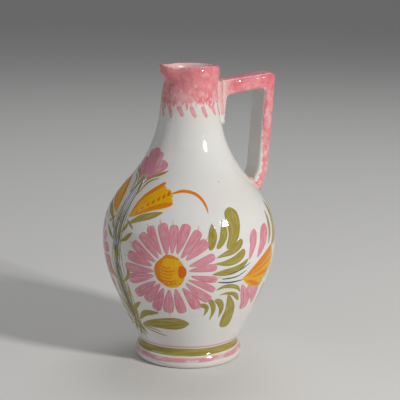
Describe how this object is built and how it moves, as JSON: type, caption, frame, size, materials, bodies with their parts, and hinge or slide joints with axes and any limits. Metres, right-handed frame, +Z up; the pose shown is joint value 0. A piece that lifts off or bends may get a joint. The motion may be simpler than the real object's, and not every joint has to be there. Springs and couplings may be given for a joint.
{
  "type": "ceramic jug",
  "caption": "Slender-necked glazed ceramic jug with a pinched spout, an angular strap handle and a turned foot, painted with flowers.",
  "frame": {"origin": "on the surface that the jug stands on, at the centre of the jug's outline seen from above", "axes": "+Z up through the mouth, +X towards the handle, the spout at -X, +Y across the handle"},
  "size_m": [0.1213, 0.1172, 0.2014],
  "materials": {
    "white_glaze": "gloss",
    "foot_glaze": "gloss",
    "sponged_pink_glaze": "gloss",
    "glazed_slip": "gloss"
  },
  "bodies": {
    "root": {"body": "white_glaze", "neck": "white_glaze", "foot_ring": "foot_glaze", "handle": "sponged_pink_glaze", "upper_handle_slip": "glazed_slip", "lower_handle_slip": "glazed_slip"}
  },
  "joints": []
}
